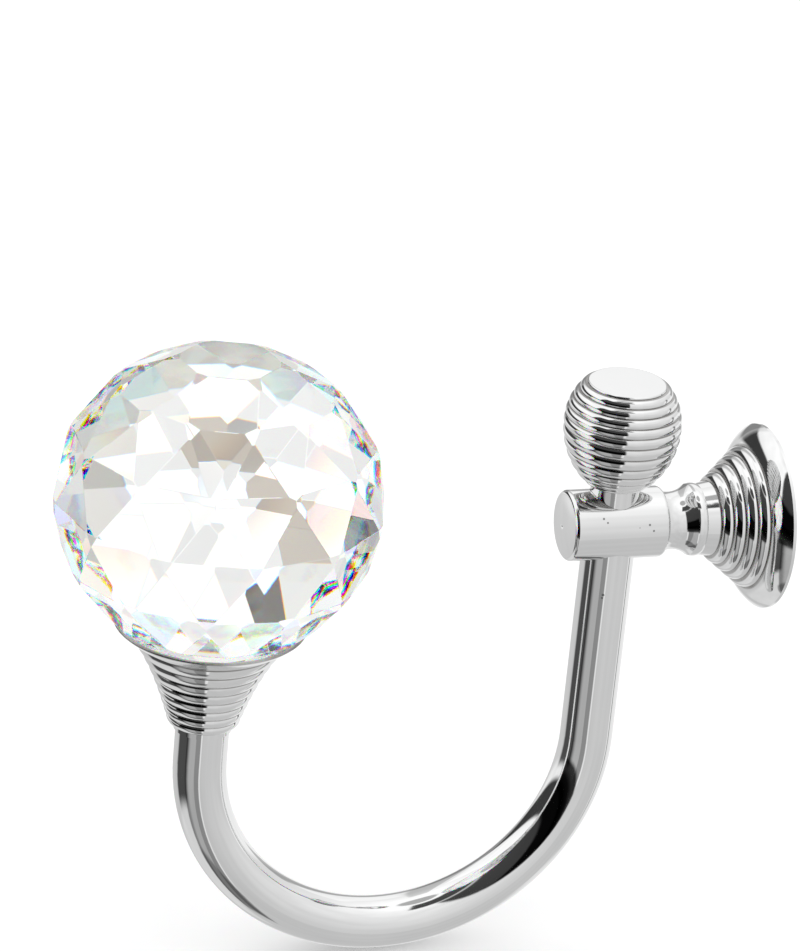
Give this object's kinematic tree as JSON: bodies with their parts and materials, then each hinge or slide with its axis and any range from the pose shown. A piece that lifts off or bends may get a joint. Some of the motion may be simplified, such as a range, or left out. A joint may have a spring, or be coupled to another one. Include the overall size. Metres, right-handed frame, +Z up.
{
  "type": "curtain holdback",
  "caption": "Wall-mounted U-shaped chrome curtain holdback with a faceted glass ball in a ridged cup, a beehive finial over the barrel post and a conical ridged wall rose.",
  "frame": {"origin": "middle of the rose's back on the wall, at the mouth of the wall thread", "axes": "+Y into the wall, +Z up, the holdback stands out along -Y and its hook hangs in the YZ plane"},
  "size_m": [0.0606, 0.1366, 0.1231],
  "materials": {
    "chrome": "polished chrome plate",
    "steel": "zinc-plated steel",
    "glass": "clear ground and polished glass"
  },
  "bodies": {
    "root": {"wall_rose": "chrome", "post": "chrome", "finial": "chrome", "finial_stud": "steel", "hook_tube": "chrome", "upper_tube_plug": "steel", "tip_tube_plug": "steel", "cup": "chrome", "cup_stud": "steel", "crystal_ball": "glass"}
  },
  "joints": []
}
